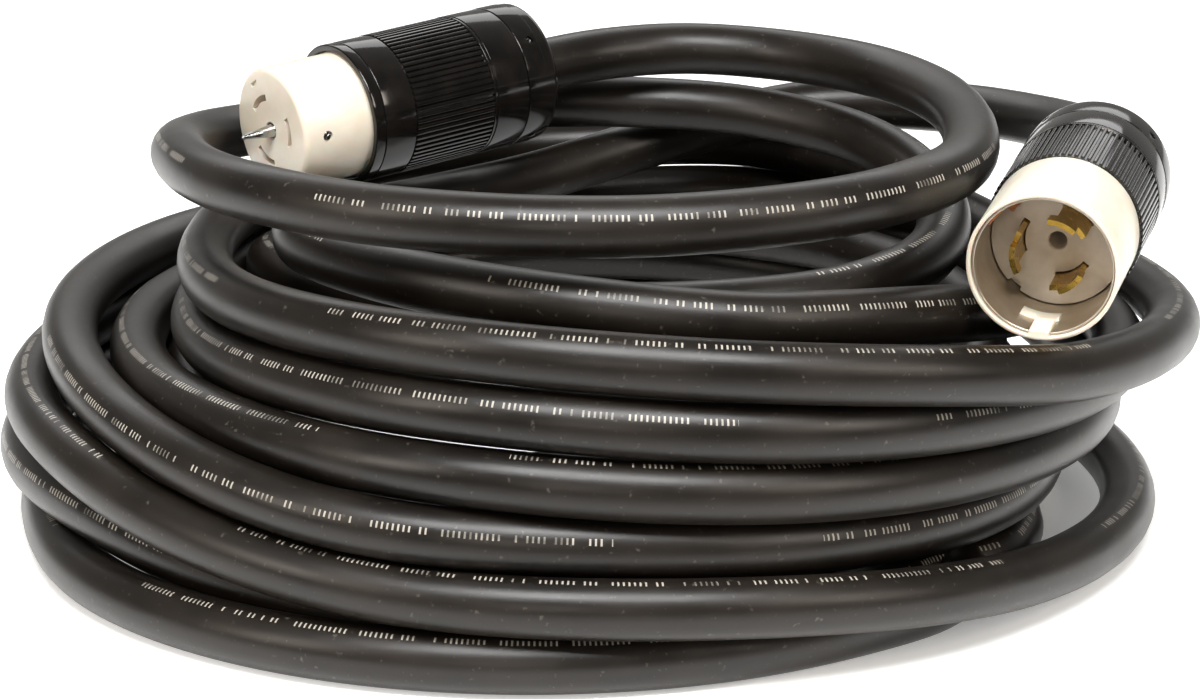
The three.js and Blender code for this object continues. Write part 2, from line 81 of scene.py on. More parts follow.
# Pockets behind the contacts and blades, alike in the carrier and the insulator
CUT_START = 46
POCKET_INNER, POCKET_OUTER, POCKET_HALF_ANGLE = 10.5, 16.5, 29
GROUND_FOOT_INNER, GROUND_STRAP_INNER, GROUND_OUTER, GROUND_END = 15.7, 19.2, 21.8, 57.6

CONNECTOR_POLES = {"x": 5, "y": 125, "w": 245}
PLUG_POLES = {"x": 175, "y": 55, "w": -65}

# Rear centre of each fitting, and a vector towards its mating end
CONNECTOR_REAR, CONNECTOR_AIM = Vector((-34, 86.5, 160)), Vector((-100, -76, -9.5)).normalized()
PLUG_REAR, PLUG_AIM = Vector((193.5, -37.5, 145.5)), Vector((-34.5, -113.5, -9.5)).normalized()


def fitting_frame(rear, aim):
    """Matrix from a fitting's own millimetres to metres in the row frame."""
    right = (-aim).cross(Vector((0, 0, 1))).normalized()
    up = aim.cross(right)
    turn = Matrix((right, up, aim)).transposed().to_4x4()
    return Matrix.Translation(rear * MM) @ turn @ Matrix.Scale(MM, 4)


CONNECTOR = fitting_frame(CONNECTOR_REAR, CONNECTOR_AIM)
PLUG = fitting_frame(PLUG_REAR, PLUG_AIM)

# ---- Camera ----


CAMERA_PLACE = Vector((0, -1419, 469.5))
CAMERA_TILT = 16            # degrees below level
CAMERA_LENS = 109.2


def add_camera():
    """A long lens, a little above the coil."""
    data = bpy.data.cameras.new("camera")
    data.sensor_width = 36.0
    data.lens = CAMERA_LENS
    data.clip_end = 50.0
    camera = bpy.data.objects.new("camera", data)
    camera.location = CAMERA_PLACE * MM
    camera.rotation_euler = (math.radians(90 - CAMERA_TILT), 0, 0)
    bpy.context.scene.collection.objects.link(camera)
    bpy.context.scene.camera = camera


add_camera()

# ---- Node helpers ----


def rgb(code):
    """Linear colour from an sRGB hex code."""
    parts = [int(code[i:i + 2], 16) / 255 for i in (1, 3, 5)]
    return [c / 12.92 if c <= 0.04045 else ((c + 0.055) / 1.055) ** 2.4 for c in parts] + [1.0]


def add(tree, kind, inputs=None, stops=None, **settings):
    """Adds a node, makes its settings, and sets or links its inputs."""
    node = tree.nodes.new(kind)
    for key, value in settings.items():
        setattr(node, key, value)
    for key, value in (inputs or {}).items():
        if isinstance(value, bpy.types.NodeSocket):
            tree.links.new(value, node.inputs[key])
        else:
            node.inputs[key].default_value = value
    for i, (place, colour) in enumerate(stops or ()):
        ramp = node.color_ramp.elements
        stop = ramp[i] if i < 2 else ramp.new(place)
        stop.position, stop.color = place, colour
    return node


def new_material(name, **base):
    """A material with a Principled shader, and its tree and shader."""
    material = bpy.data.materials.new(name)
    material.use_nodes = True
    tree = material.node_tree
    shader = tree.nodes["Principled BSDF"]
    for key, value in base.items():
        shader.inputs[key.replace("_", " ")].default_value = value
    return material, tree, shader


def fine_bump(tree, shader, scale, distance, strength, detail=3.0):
    """Raises the surface by noise of a given size, on Object coordinates."""
    place = add(tree, "ShaderNodeTexCoord").outputs["Object"]
    noise = add(tree, "ShaderNodeTexNoise", {"Vector": place, "Scale": scale, "Detail": detail})
    bump = add(tree, "ShaderNodeBump", {
        "Height": noise.outputs["Fac"], "Distance": distance, "Strength": strength})
    tree.links.new(bump.outputs["Normal"], shader.inputs["Normal"])
    return noise


# ---- Materials ----


def cable_rubber():
    """Extruded chloroprene jacket: satin, warm black, drawn lengthwise, with dust and rub marks."""
    material, tree, shader = new_material("cable_rubber", Specular_IOR_Level=0.4)
    uv = add(tree, "ShaderNodeUVMap", uv_map="UVMap").outputs["UV"]
    lengthwise = add(tree, "ShaderNodeMapping", {"Vector": uv, "Scale": (18, 900, 1)})
    draw = add(tree, "ShaderNodeTexNoise", {
        "Vector": lengthwise.outputs["Vector"], "Scale": 1.0, "Detail": 3.0})
    place = add(tree, "ShaderNodeTexCoord").outputs["Object"]
    cloud = add(tree, "ShaderNodeTexNoise", {"Vector": place, "Scale": 26.0, "Detail": 5.0})
    speck = add(tree, "ShaderNodeTexNoise", {"Vector": place, "Scale": 420.0, "Detail": 2.0})
    jacket = add(tree, "ShaderNodeValToRGB", {"Fac": cloud.outputs["Fac"]}, stops=[
        (0.35, rgb("#110e0b")), (0.7, rgb("#1e1914"))])
    dust_amount = add(tree, "ShaderNodeMapRange", {
        "Value": speck.outputs["Fac"], "From Min": 0.66, "From Max": 0.78, "To Max": 0.35})
    dusty = add(tree, "ShaderNodeMix", {
        "Factor": dust_amount.outputs["Result"], "A": jacket.outputs["Color"], "B": rgb("#6d675f")},
        data_type="RGBA")
    printed = print_line(tree, uv)
    inked = add(tree, "ShaderNodeMix", {
        "Factor": printed, "A": dusty.outputs["Result"], "B": rgb("#aca79d")}, data_type="RGBA")
    tree.links.new(inked.outputs["Result"], shader.inputs["Base Color"])
    rough = add(tree, "ShaderNodeMapRange", {
        "Value": cloud.outputs["Fac"], "From Min": 0.3, "From Max": 0.7, "To Min": 0.3, "To Max": 0.4})
    tree.links.new(rough.outputs["Result"], shader.inputs["Roughness"])
    bump = add(tree, "ShaderNodeBump", {
        "Height": draw.outputs["Fac"], "Distance": 0.0003, "Strength": 0.10})
    tree.links.new(bump.outputs["Normal"], shader.inputs["Normal"])
    return material


def print_line(tree, uv):
    """A printed line of plain upright strokes in groups, where a jacket has its legend.
    U is metres along the cable, and V is how far round it, with the line at 0.5."""
    axes = add(tree, "ShaderNodeSeparateXYZ", {"Vector": uv})

    def math_node(operation, first, second=0.0, third=0.0):
        node = add(tree, "ShaderNodeMath", {0: first, 1: second, 2: third}, operation=operation)
        return node.outputs["Value"]

    def share(pitch, part):
        """1 on the first part of each pitch along the cable, and 0 on the rest."""
        return math_node("LESS_THAN", math_node("FRACT", math_node("DIVIDE", distance, pitch)), part)

    distance = axes.outputs["X"]
    stroke_pitch, group_pitch, legend_pitch = 0.0019, 0.0247, 0.37
    index = math_node("FLOOR", math_node("DIVIDE", distance, stroke_pitch))
    chance = add(tree, "ShaderNodeTexWhiteNoise", {"W": index}, noise_dimensions="1D").outputs["Value"]
    stroke = share(stroke_pitch, 0.36)
    kept = math_node("GREATER_THAN", chance, 0.12)
    group = share(group_pitch, 0.84)
    legend = share(legend_pitch, 0.8)
    off_line = math_node("ABSOLUTE", math_node("SUBTRACT", axes.outputs["Y"], 0.5))
    reach = math_node("MULTIPLY_ADD", chance, 0.004, 0.015)
    band = math_node("LESS_THAN", off_line, reach)
    place = add(tree, "ShaderNodeTexCoord").outputs["Object"]
    rub = add(tree, "ShaderNodeTexNoise", {"Vector": place, "Scale": 60.0, "Detail": 6.0}).outputs["Fac"]
    worn = add(tree, "ShaderNodeMapRange", {
        "Value": rub, "From Min": 0.36, "From Max": 0.5, "To Min": 0.25, "To Max": 0.9}).outputs["Result"]
    mark = math_node("MULTIPLY", math_node("MULTIPLY", stroke, kept), math_node("MULTIPLY", group, legend))
    return math_node("MULTIPLY", math_node("MULTIPLY", mark, band), worn)


def bush_rubber():
    """Moulded soft rubber: matt and dead black."""
    material, tree, shader = new_material("bush_rubber", Base_Color=rgb("#191818"), Roughness=0.75)
    fine_bump(tree, shader, 900.0, 0.0002, 0.15)
    return material


def black_nylon():
    """Glass-filled nylon from a polished mould: glossy black, with soft flow marks and fine scuffs."""
    material, tree, shader = new_material("black_nylon")
    noise = fine_bump(tree, shader, 90.0, 0.0002, 0.02)
    tint = add(tree, "ShaderNodeValToRGB", {"Fac": noise.outputs["Fac"]}, stops=[
        (0.3, rgb("#0c0b0a")), (0.75, rgb("#171412"))])
    tree.links.new(tint.outputs["Color"], shader.inputs["Base Color"])
    rough = add(tree, "ShaderNodeMapRange", {
        "Value": noise.outputs["Fac"], "From Min": 0.3, "From Max": 0.75, "To Min": 0.07, "To Max": 0.16})
    tree.links.new(rough.outputs["Result"], shader.inputs["Roughness"])
    return material


def white_nylon():
    """Unfilled white nylon: a warm white that light enters a little, semi-gloss."""
    material, tree, shader = new_material(
        "white_nylon", Roughness=0.3, Subsurface_Weight=0.25, Subsurface_Scale=0.004)
    noise = fine_bump(tree, shader, 70.0, 0.0003, 0.03)
    tint = add(tree, "ShaderNodeValToRGB", {"Fac": noise.outputs["Fac"]}, stops=[
        (0.3, rgb("#dbd1bf")), (0.75, rgb("#e8dfd0"))])
    tree.links.new(tint.outputs["Color"], shader.inputs["Base Color"])
    return material


def grey_nylon():
    """Moulded nylon of the insulator: beige grey, satin."""
    material, tree, shader = new_material("grey_nylon", Roughness=0.42)
    noise = fine_bump(tree, shader, 180.0, 0.0002, 0.05)
    tint = add(tree, "ShaderNodeValToRGB", {"Fac": noise.outputs["Fac"]}, stops=[
        (0.3, rgb("#c9bfb1")), (0.75, rgb("#dad1c4"))])
    tree.links.new(tint.outputs["Color"], shader.inputs["Base Color"])
    return material


def metal(name, dark, light, low, high, scale=160.0):
    """A stamped or turned metal: its colour and gloss vary with handling and fine tool marks."""
    material, tree, shader = new_material(name, Metallic=1.0)
    noise = fine_bump(tree, shader, scale, 0.0002, 0.06, detail=6.0)
    tint = add(tree, "ShaderNodeValToRGB", {"Fac": noise.outputs["Fac"]}, stops=[
        (0.3, rgb(dark)), (0.7, rgb(light))])
    tree.links.new(tint.outputs["Color"], shader.inputs["Base Color"])
    rough = add(tree, "ShaderNodeMapRange", {
        "Value": noise.outputs["Fac"], "From Min": 0.3, "From Max": 0.7, "To Min": low, "To Max": high})
    tree.links.new(rough.outputs["Result"], shader.inputs["Roughness"])
    return material


def insulation(name, code):
    """Smooth extruded thermoplastic on a wire."""
    material, tree, shader = new_material(name, Base_Color=rgb(code), Roughness=0.38)
    fine_bump(tree, shader, 300.0, 0.0001, 0.05)
    return material


FINISHES = {
    "cable_rubber": cable_rubber(),
    "bush_rubber": bush_rubber(),
    "black_nylon": black_nylon(),
    "white_nylon": white_nylon(),
    "grey_nylon": grey_nylon(),
    "brass": metal("brass", "#a8842c", "#d9b45a", 0.16, 0.34),
    "bronze": metal("bronze", "#9a5a38", "#d08a5e", 0.12, 0.3),
    "plated_steel": metal("plated_steel", "#a8aaab", "#d6d7d6", 0.08, 0.22),
    "shell_steel": metal("shell_steel", "#c4bbac", "#ddd5c8", 0.3, 0.42, 90.0),
    "wire_x": insulation("wire_x", "#17171a"),
    "wire_y": insulation("wire_y", "#a82320"),
    "wire_w": insulation("wire_w", "#e9e6df"),
    "wire_g": insulation("wire_g", "#1f7a3b"),
}

# ---- The cord's route ----


def along(rear, aim, distance):
    """The point at a station on a fitting's axis."""
    return tuple(rear + aim * distance)


# The free stretches, from the jacket end inside the connector to the coil, and from the top
# of the coil to the jacket end inside the plug
CONNECTOR_LEAD = [
    along(CONNECTOR_REAR, CONNECTOR_AIM, JACKET_STRIP), along(CONNECTOR_REAR, CONNECTOR_AIM, 12),
    along(CONNECTOR_REAR, CONNECTOR_AIM, -8),
    (0, 111, 162), (36, 124, 162), (74, 117, 161), (112, 85, 161), (137, 32, 161), (144, -36, 160),
    (130, -102, 160), (84, -156, 160), (8, -184, 160), (-76, -168, 160), (-134, -120, 159),
    (-161, -52, 154), (-164, 20, 145), (-138, 78, 138), (-76, 117, 137), (0, 132, 137),
    (66, 120, 135), (116, 82, 129), (138, 28, 119), (130, -32, 111), (94, -76, 107), (40, -96, 106),
    (-20, -94, 105), (-76, -72, 103), (-117, -30, 98), (-134, 22, 93), (-132, 64, 88),
]
PLUG_LEAD = [
    (104, -150, 118.4), (56, -176, 123), (-4, -178, 129), (-66, -148, 131), (-108, -97, 130),
    (-115, -40, 125), (-104, 14, 114), (-74, 66, 108), (-28, 112, 108), (30, 150, 117),
    (94, 167, 128), (151, 148, 131), (189, 95, 136), (203, 30, 143),
    along(PLUG_REAR, PLUG_AIM, -10), along(PLUG_REAR, PLUG_AIM, 12),
    along(PLUG_REAR, PLUG_AIM, JACKET_STRIP),
]
# Each turn of the coil, as its (radius, height) at the back, right, front and left. The turns
# run clockwise from above: three inner ones down to the ground, then seven outer ones up.
INNER_TURNS = [
    ((152, 78), (152, 74), (172, 62), (164, 62)),
    ((166, 60), (160, 54), (190, 40), (186, 48)),
    ((176, 36), (154, 33), (176, 11), (190, 11)),
]
OUTER_TURNS = [
    ((178, 11), (140, 11), (220, 11), (223, 11)),
    ((212, 11), (162, 11), (198, 13), (231, 33)),
    ((200, 30), (213, 11), (221, 31), (228, 54)),
    ((212, 45), (176, 33), (216, 52), (213, 78)),
    ((236, 66), (200, 54), (216, 73), (184, 74)),
    ((198, 62), (206, 70), (214, 94), (158, 86)),
    ((190, 80), (228, 82), (212, 116), (156, 108)),
]
LAST_RISE = [((203, 102), (184, 92))]


def spline(points, step=5.0):
    """A centripetal Catmull-Rom line through the points, the same as the CAD tubes follow."""
    p = [np.array(q, float) for q in points]
    p = [2 * p[0] - p[1]] + p + [2 * p[-1] - p[-2]]
    line = []
    for a, b, c, d in zip(p, p[1:], p[2:], p[3:]):
        ab, bc, cd = (np.linalg.norm(v) ** 0.5 for v in (b - a, c - b, d - c))
        leave = ((b - a) / ab - (c - a) / (ab + bc) + (c - b) / bc) * bc
        arrive = ((c - b) / bc - (d - b) / (bc + cd) + (d - c) / cd) * bc
        count = max(2, int(np.linalg.norm(c - b) / step))
        for t in np.arange(count) / count:
            line.append(hermite(b, leave, c, arrive, t))
    line.append(p[-2])
    return np.array(line)


def hermite(start, leave, end, arrive, t):
    """A point on the cubic between two ends with given slopes, at t from 0 to 1."""
    return (start * (2 * t**3 - 3 * t**2 + 1) + leave * (t**3 - 2 * t**2 + t)
            + end * (3 * t**2 - 2 * t**3) + arrive * (t**3 - t**2))


def lengths(line):
    """Distance along a line at each of its points."""
    return np.concatenate([[0.0], np.cumsum(np.linalg.norm(np.diff(line, axis=0), axis=1))])


def evenly(line, step):
    """The same line with points the same distance apart."""
    place = lengths(line)
    wanted = np.linspace(0, place[-1], int(round(place[-1] / step)) + 1)
    return np.stack([np.interp(wanted, place, line[:, k]) for k in range(3)], axis=1)


def polar(point):
    """(azimuth in degrees, radius, height) of a point."""
    return math.degrees(math.atan2(point[1], point[0])), math.hypot(point[0], point[1]), point[2]


def coil_line(lead_in, lead_out):
    """The coil between the two leads: radius and height flow smoothly from station to station."""
    stations = [polar(lead_in[-1])]
    azimuth = 90.0
    for turn in INNER_TURNS + OUTER_TURNS + LAST_RISE:
        for radius, height in turn:
            stations.append((azimuth, radius, height))
            azimuth -= 90.0
    end_azimuth, end_radius, end_height = polar(lead_out[0])
    while end_azimuth > stations[-1][0]:
        end_azimuth -= 360.0
    stations.append((end_azimuth, end_radius, end_height))
    stations = np.array(stations)
    turned_by, shape = -stations[:, 0], stations[:, 1:]
    slopes = np.gradient(shape, turned_by, axis=0)
    slopes[0] = lead_slope(lead_in[-8], lead_in[-1])
    slopes[-1] = lead_slope(lead_out[0], lead_out[7])
    line = []
    for k in range(len(stations) - 1):
        span = turned_by[k + 1] - turned_by[k]
        count = max(12, int(span / 2.2))
        for t in np.arange(count) / count:
            radius, height = hermite(shape[k], slopes[k] * span, shape[k + 1], slopes[k + 1] * span, t)
            angle = math.radians(-(turned_by[k] + span * t))
            line.append((radius * math.cos(angle), radius * math.sin(angle), height))
    return np.array(line)


def lead_slope(first, second):
    """How radius and height change with each degree turned, between two points of a lead."""
    a, b = polar(first), polar(second)
    turned = (a[0] - b[0]) % 360.0
    return np.array([(b[1] - a[1]) / turned, (b[2] - a[2]) / turned])


def close_pairs(line, reach, skip):
    """Pairs of points nearer than reach, leaving out near neighbours on the line."""
    found = []
    block = 256
    for start in range(0, len(line), block):
        apart = ((line[start:start + block, None] - line[None]) ** 2).sum(axis=2)
        i, j = np.nonzero(apart < reach**2)
        i = i + start
        keep = j - i > skip
        found.append(np.stack([i[keep], j[keep]], axis=1))
    return np.concatenate(found)


def fair(line, free, stride, amount):
    """Takes short waves out of a line, as a stiff cable does."""
    s = stride
    wave = np.zeros_like(line)
    wave[2 * s:-2 * s] = (-line[:-4 * s] + 4 * line[s:-3 * s] - 6 * line[2 * s:-2 * s]
                          + 4 * line[3 * s:-s] - line[4 * s:]) / 16
    return line + free * wave * amount


def clear_fittings(place, free):
    """Moves cable out of the space of the two fittings that lie on the coil."""
    fittings = ((CONNECTOR_REAR, CONNECTOR_AIM, CONNECTOR_FACE), (PLUG_REAR, PLUG_AIM, PLUG_RIM))
    for rear, aim, length in fittings:
        rear, aim = np.array(rear), np.array(aim)
        station = (place - rear) @ aim
        away = place - rear - station[:, None] * aim
        distance = np.linalg.norm(away, axis=1)
        past = np.maximum(np.maximum(station - length, -station), 0.0)
        reach = np.sqrt(np.maximum(CABLE_RADIUS**2 - past**2, 0.0))
        short = np.where(past < CABLE_RADIUS, np.maximum(NUT_RADIUS + reach - distance, 0.0), 0.0)
        place = place + free * away / distance[:, None] * short[:, None]
    return place


def settle(line, pinned, rounds=280, apart=22.4):
    """Lets the turns push each other a diameter apart, stay on the ground and keep fair curves."""
    search_reach, neighbours, search_every = 34.0, 10, 8
    give, pull_home = 0.9, 0.02
    home, place = line.copy(), line.copy()
    free = (~pinned).astype(float)[:, None]
    for turn in range(rounds):
        if turn % search_every == 0:
            pairs = close_pairs(place, search_reach, neighbours)
        i, j = pairs[:, 0], pairs[:, 1]
        across = place[j] - place[i]
        distance = np.linalg.norm(across, axis=1)
        touching = (distance < apart) & ((free[i] + free[j])[:, 0] > 0)
        i, j, across, distance = i[touching], j[touching], across[touching], distance[touching]
        push = across * ((apart - distance) / distance)[:, None] / (free[i] + free[j])
        moved, count = np.zeros_like(place), np.zeros((len(place), 1))
        np.add.at(moved, i, -push * free[i])
        np.add.at(moved, j, push * free[j])
        np.add.at(count, i, 1.0)
        np.add.at(count, j, 1.0)
        place = place + give * moved / np.maximum(count, 1.0)
        place = clear_fittings(place, free)
        for _ in range(3):
            place = fair(place, free, 1, 0.9)
        place = fair(place, free, 4, 0.12)
        place = place + free * pull_home * (1 - turn / rounds) * (home - place)
        place[:, 2] = np.where(pinned, place[:, 2], np.maximum(place[:, 2], CABLE_RADIUS))
    return place


def cord_line():
    """The whole route. The leads keep their points, but for a short stretch at the coil."""
    coarse, fine = 7.0, 6.5
    loose_in, loose_out = 30, 25
    lead_in, lead_out = spline(CONNECTOR_LEAD), spline(PLUG_LEAD)
    whole = np.concatenate([lead_in[:-1], coil_line(lead_in, lead_out), lead_out])
    whole = evenly(whole, coarse)
    place = lengths(whole)
    first = lengths(lead_in)[-1] - loose_in
    last = place[-1] - lengths(lead_out)[-1] + loose_out
    pinned = (place < first) | (place > last)
    return evenly(settle(whole, pinned), fine)


def cord_mesh(line):
    """A closed tube along the line. V is 0.5 on the side that faces up and outwards."""
    around = 24
    forward = np.gradient(line, axis=0)
    forward /= np.linalg.norm(forward, axis=1)[:, None]
    outward = np.cross(np.array([0.0, 0.0, 1.0]), forward)
    outward /= np.linalg.norm(outward, axis=1)[:, None]
    upward = np.cross(forward, outward)
    place = lengths(line)
    # The jacket rolls a little as it is wound, so its print wanders round it.
    mean_roll, swing, wave, phase = 38, 26, 2310, 0.6
    roll = np.radians(mean_roll + swing * np.sin(2 * math.pi * place / wave + phase))
    angles = np.linspace(0, 2 * math.pi, around, endpoint=False) - math.pi
    turn = roll[:, None] + angles[None]
    rings = line[:, None] + CABLE_RADIUS * (
        np.cos(turn)[..., None] * upward[:, None] + np.sin(turn)[..., None] * outward[:, None])
    vertices = list(map(tuple, rings.reshape(-1, 3) * MM))
    count = len(line)
    faces, uvs = [], []
    for i in range(count - 1):
        low, high = place[i] * MM, place[i + 1] * MM
        for k in range(around):
            n = (k + 1) % around
            faces.append((i * around + k, i * around + n, (i + 1) * around + n, (i + 1) * around + k))
            here, there = k / around, (k + 1) / around
            uvs += [(low, here), (low, there), (high, there), (high, here)]
    faces.append(tuple(range(around))[::-1])
    faces.append(tuple((count - 1) * around + k for k in range(around)))
    uvs += [(0.0, 0.0)] * (2 * around)
    mesh = bpy.data.meshes.new("shore_cable")
    mesh.from_pydata(vertices, [], faces)
    layer = mesh.uv_layers.new(name="UVMap")
    layer.data.foreach_set("uv", np.array(uvs).ravel())
    mesh.shade_smooth()
    mesh.validate()
    return mesh


def link(name, mesh):
    """An object of the mesh, in the scene."""
    piece = bpy.data.objects.new(name, mesh)
    bpy.context.scene.collection.objects.link(piece)
    return piece


def finish_piece(piece, body, finish, *replaced):
    """Gives a piece its finish, rides it on its body and lets it stand for its CAD nodes."""
    if not piece.data.materials:
        piece.data.materials.append(FINISHES[finish])
    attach(piece, body)
    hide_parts(*replaced)
    return piece


CORD_LINE = cord_line()
cable = link("shore_cable", cord_mesh(CORD_LINE))
finish_piece(cable, "cord", "cable_rubber", "cable_coil", "connector_lead", "plug_lead")

# ---- Shape helpers for the fittings ----


def filleted(profile, steps=5):
    """Rounds the corners of a closed profile of (radius, station, fillet) rows."""
    out = []
    count = len(profile)
    for k, (r, z, fillet) in enumerate(profile):
        corner = Vector((r, z))
        before = Vector(profile[k - 1][:2]) - corner
        after = Vector(profile[(k + 1) % count][:2]) - corner
        if fillet <= 0 or before.length == 0 or after.length == 0:
            out.append((r, z))
            continue
        half = before.angle(after) / 2
        reach = min(fillet / math.tan(half), before.length * 0.48, after.length * 0.48)
        radius = reach * math.tan(half)
        middle = corner + (before.normalized() + after.normalized()).normalized() * (radius / math.sin(half))
        start = corner + before.normalized() * reach - middle
        end = corner + after.normalized() * reach - middle
        sweep = start.angle(end)
        for i in range(steps + 1):
            t = i / steps
            spoke = (start * math.sin((1 - t) * sweep) + end * math.sin(t * sweep)) / math.sin(sweep)
            out.append(tuple(middle + spoke))
    return out


def turned_mesh(name, profile, sides=SIDES):
    """Spins a closed profile about Z. Rows are (radius, station, fillet), anticlockwise."""
    rows = filleted(profile)
    vertices, faces, ring_of = [], [], []
    for r, z in rows:
        if r < 1e-6:
            ring_of.append([len(vertices)])
            vertices.append((0, 0, z))
            continue
        ring_of.append(list(range(len(vertices), len(vertices) + sides)))
        for i in range(sides):
            angle = 2 * math.pi * i / sides
            vertices.append((r * math.cos(angle), r * math.sin(angle), z))
    for k, low in enumerate(ring_of):
        high = ring_of[(k + 1) % len(ring_of)]
        for i in range(sides):
            n = (i + 1) % sides
            if len(low) == 1 and len(high) == 1:
                break
            if len(low) == 1:
                faces.append((low[0], high[n], high[i]))
            elif len(high) == 1:
                faces.append((low[i], low[n], high[0]))
            else:
                faces.append((low[i], low[n], high[n], high[i]))
    mesh = bpy.data.meshes.new(name)
    mesh.from_pydata(vertices, [], faces)
    return mesh


def arc_plate(name, inner, outer, start, end, low, high):
    """A curved plate: part of a ring between two angles, in degrees, and two stations."""
    steps = max(3, int(abs(end - start) / 3))
    angles = [math.radians(start + (end - start) * i / steps) for i in range(steps + 1)]
    vertices = [(r * math.cos(a), r * math.sin(a), z)
                for z in (low, high) for r in (inner, outer) for a in angles]
    n = steps + 1
    faces = []
    for i in range(steps):
        faces.append((i, i + 1, n + i + 1, n + i))
        faces.append((2 * n + i + 1, 2 * n + i, 3 * n + i, 3 * n + i + 1))
        faces.append((i + 1, i, 2 * n + i, 2 * n + i + 1))
        faces.append((n + i, n + i + 1, 3 * n + i + 1, 3 * n + i))
    faces.append((0, n, 3 * n, 2 * n))
    faces.append((n - 1, 3 * n - 1, 4 * n - 1, 2 * n - 1))
    mesh = bpy.data.meshes.new(name)
    mesh.from_pydata(vertices, [], faces)
    outwards(mesh)
    return mesh


def outwards(mesh):
    """Merges doubles and turns every face outwards."""
    work = bmesh.new()
    work.from_mesh(mesh)
    bmesh.ops.remove_doubles(work, verts=work.verts, dist=1e-5)
    bmesh.ops.recalc_face_normals(work, faces=work.faces)
    work.to_mesh(mesh)
    work.free()


def moved(mesh, matrix):
    """The mesh itself, after a move."""
    mesh.transform(matrix)
    return mesh


def radial_bar(name, radius, inner, outer, angle, station, sides=32):
    """A round bar that points away from the axis."""
    mesh = turned_mesh(name, [(0, inner, 0), (radius, inner, 0), (radius, outer, 0), (0, outer, 0)], sides)
    turn = Matrix.Rotation(math.radians(angle), 4, "Z") @ Matrix.Rotation(math.radians(90), 4, "Y")
    return moved(mesh, Matrix.Translation((0, 0, station)) @ turn)


def box_mesh(name, size, centre, turn=0.0):
    """A block, turned about Z after it is placed."""
    work = bmesh.new()
    bmesh.ops.create_cube(work, size=1.0)
    mesh = bpy.data.meshes.new(name)
    work.to_mesh(mesh)
    work.free()
    scale = Matrix.Diagonal((*size, 1))
    return moved(mesh, Matrix.Rotation(math.radians(turn), 4, "Z") @ Matrix.Translation(centre) @ scale)


def shaped(name, base, added=(), cut=(), bevel=0.0, sharp=38):
    """Joins and cuts meshes, softens the new edges, and gives one mesh."""
    work = link(name + "_work", base)
    helpers = []
    for operation, meshes in (("UNION", added), ("DIFFERENCE", cut)):
        for mesh in meshes:
            tool = link(name + "_tool", mesh)
            helpers.append(tool)
            modifier = work.modifiers.new("cut", "BOOLEAN")
            modifier.operation, modifier.solver, modifier.object = operation, "EXACT", tool
    if bevel:
        modifier = work.modifiers.new("edges", "BEVEL")
        modifier.width, modifier.segments = bevel, 2
        modifier.limit_method, modifier.angle_limit = "ANGLE", math.radians(50)
        modifier.use_clamp_overlap = True
    graph = bpy.context.evaluated_depsgraph_get()
    mesh = bpy.data.meshes.new_from_object(work.evaluated_get(graph))
    mesh.name = name
    for piece in [work] + helpers:
        bpy.data.objects.remove(piece)
    mesh.shade_smooth()
    mesh.set_sharp_from_angle(angle=math.radians(sharp))
    return mesh


def place_piece(name, mesh, fitting, body, finish):
    """Puts a fitting's piece in the row frame, in metres, in place of the CAD node of that name."""
    mesh.transform(fitting)
    mesh.shade_smooth()
    mesh.set_sharp_from_angle(angle=math.radians(38))
    return finish_piece(link(name + "_finished", mesh), body, finish, name)


# ---- Ribs, by Geometry Nodes ----


def rib_tree():
    """Straight ribs with rounded edges, set side by side round a sleeve and joined to it."""
    tree = bpy.data.node_groups.new("sleeve_ribs", "GeometryNodeTree")
    sockets = (("Sleeve", "NodeSocketGeometry"), ("Count", "NodeSocketInt"), ("Radius", "NodeSocketFloat"),
               ("Start", "NodeSocketFloat"), ("End", "NodeSocketFloat"), ("Width", "NodeSocketFloat"),
               ("Depth", "NodeSocketFloat"), ("Edge", "NodeSocketFloat"), ("Finish", "NodeSocketMaterial"))
    for name, kind in sockets:
        tree.interface.new_socket(name, in_out="INPUT", socket_type=kind)
    tree.interface.new_socket("Geometry", in_out="OUTPUT", socket_type="NodeSocketGeometry")
    given = add(tree, "NodeGroupInput").outputs
    start = add(tree, "ShaderNodeCombineXYZ", {"Z": given["Start"]}).outputs["Vector"]
    end = add(tree, "ShaderNodeCombineXYZ", {"Z": given["End"]}).outputs["Vector"]
    line = add(tree, "GeometryNodeCurvePrimitiveLine", {"Start": start, "End": end})
    section = add(tree, "GeometryNodeCurvePrimitiveQuadrilateral", {
        "Width": given["Width"], "Height": given["Depth"]})
    section = add(tree, "GeometryNodeFilletCurve", {
        "Curve": section.outputs["Curve"], "Radius": given["Edge"], "Count": 3}, mode="POLY")
    rib = add(tree, "GeometryNodeCurveToMesh", {
        "Curve": line.outputs["Curve"], "Profile Curve": section.outputs["Curve"], "Fill Caps": True})
    ring = add(tree, "GeometryNodeMeshCircle", {"Vertices": given["Count"], "Radius": given["Radius"]})
    place = add(tree, "GeometryNodeInputPosition").outputs["Position"]
    facing = add(tree, "FunctionNodeAlignRotationToVector", {"Vector": place}, axis="Y", pivot_axis="Z")
    ribs = add(tree, "GeometryNodeInstanceOnPoints", {
        "Points": ring.outputs["Mesh"], "Instance": rib.outputs["Mesh"],
        "Rotation": facing.outputs["Rotation"]})
    both = add(tree, "GeometryNodeJoinGeometry", {"Geometry": given["Sleeve"]})
    tree.links.new(ribs.outputs["Instances"], both.inputs["Geometry"])
    real = add(tree, "GeometryNodeRealizeInstances", {"Geometry": both.outputs["Geometry"]})
    done = add(tree, "GeometryNodeSetMaterial", {
        "Geometry": real.outputs["Geometry"], "Material": given["Finish"]})
    add(tree, "NodeGroupOutput", {"Geometry": done.outputs["Geometry"]})
    return tree


